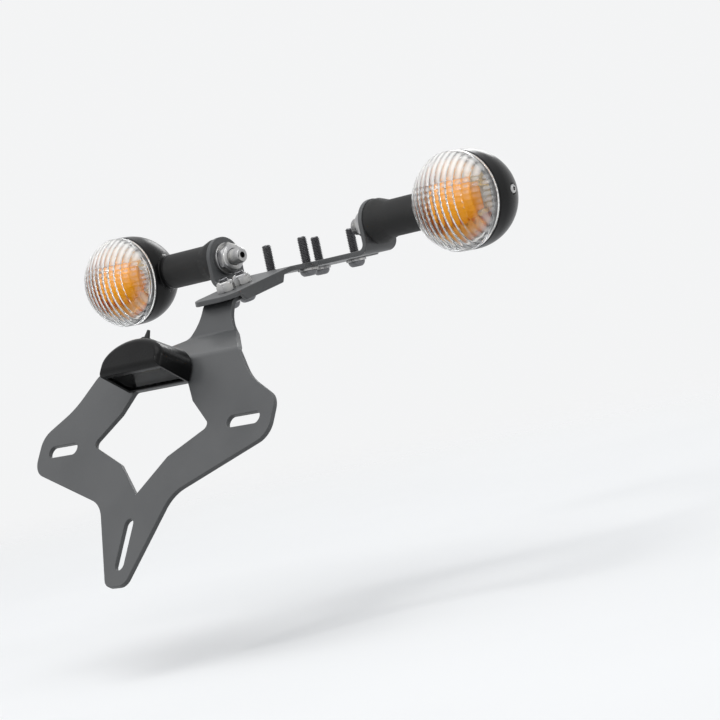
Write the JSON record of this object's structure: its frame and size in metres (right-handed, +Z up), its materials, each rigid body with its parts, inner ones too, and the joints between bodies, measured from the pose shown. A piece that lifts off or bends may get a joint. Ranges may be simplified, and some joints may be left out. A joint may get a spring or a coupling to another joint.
{
  "type": "tail tidy",
  "caption": "Star-shaped number plate bracket on a stepped neck, with an arched plate light and round indicators on rubber stalks, bolted under a motorbike's tail.",
  "frame": {"origin": "middle of the four tail bolts, on the undertail bracket's top face", "axes": "+X towards the motorbike's right, +Y towards its front, +Z up along the tail bolts"},
  "size_m": [0.34, 0.2506, 0.1973],
  "materials": {
    "bracket_paint": "satin powder coat",
    "steel": "zinc plated",
    "dark_steel": "black oxide",
    "black_plastic": "fine satin",
    "clear_plastic": "clear, ribbed inside",
    "light_lens": "clear",
    "rubber": "matt",
    "reflector": "bright metal coating",
    "amber_bulb": "amber, plain",
    "brass": "dull",
    "board": "printed circuit board"
  },
  "bodies": {
    "root": {"plate_bracket": "bracket_paint", "undertail_bracket": "bracket_paint", "tail_bolts": "dark_steel", "tail_washers": "steel", "neck_bolts": "dark_steel", "neck_washers": "steel", "neck_nuts": "steel", "plate_light_housing": "black_plastic", "plate_light_lens": "light_lens", "plate_light_gasket": "rubber", "plate_light_board": "board", "plate_light_screws": "steel", "cable_gland": "rubber", "left_indicator_housing": "black_plastic", "left_indicator_lens": "clear_plastic", "left_indicator_seal": "rubber", "left_indicator_reflector": "reflector", "left_indicator_bulb_holder": "brass", "left_indicator_bulb": "amber_bulb", "left_indicator_stalk": "rubber", "left_indicator_stud": "steel", "left_indicator_washer": "steel", "left_indicator_nut": "steel", "left_indicator_screw": "steel", "right_indicator_housing": "black_plastic", "right_indicator_lens": "clear_plastic", "right_indicator_seal": "rubber", "right_indicator_reflector": "reflector", "right_indicator_bulb_holder": "brass", "right_indicator_bulb": "amber_bulb", "right_indicator_stalk": "rubber", "right_indicator_stud": "steel", "right_indicator_washer": "steel", "right_indicator_nut": "steel", "right_indicator_screw": "steel"}
  },
  "joints": []
}
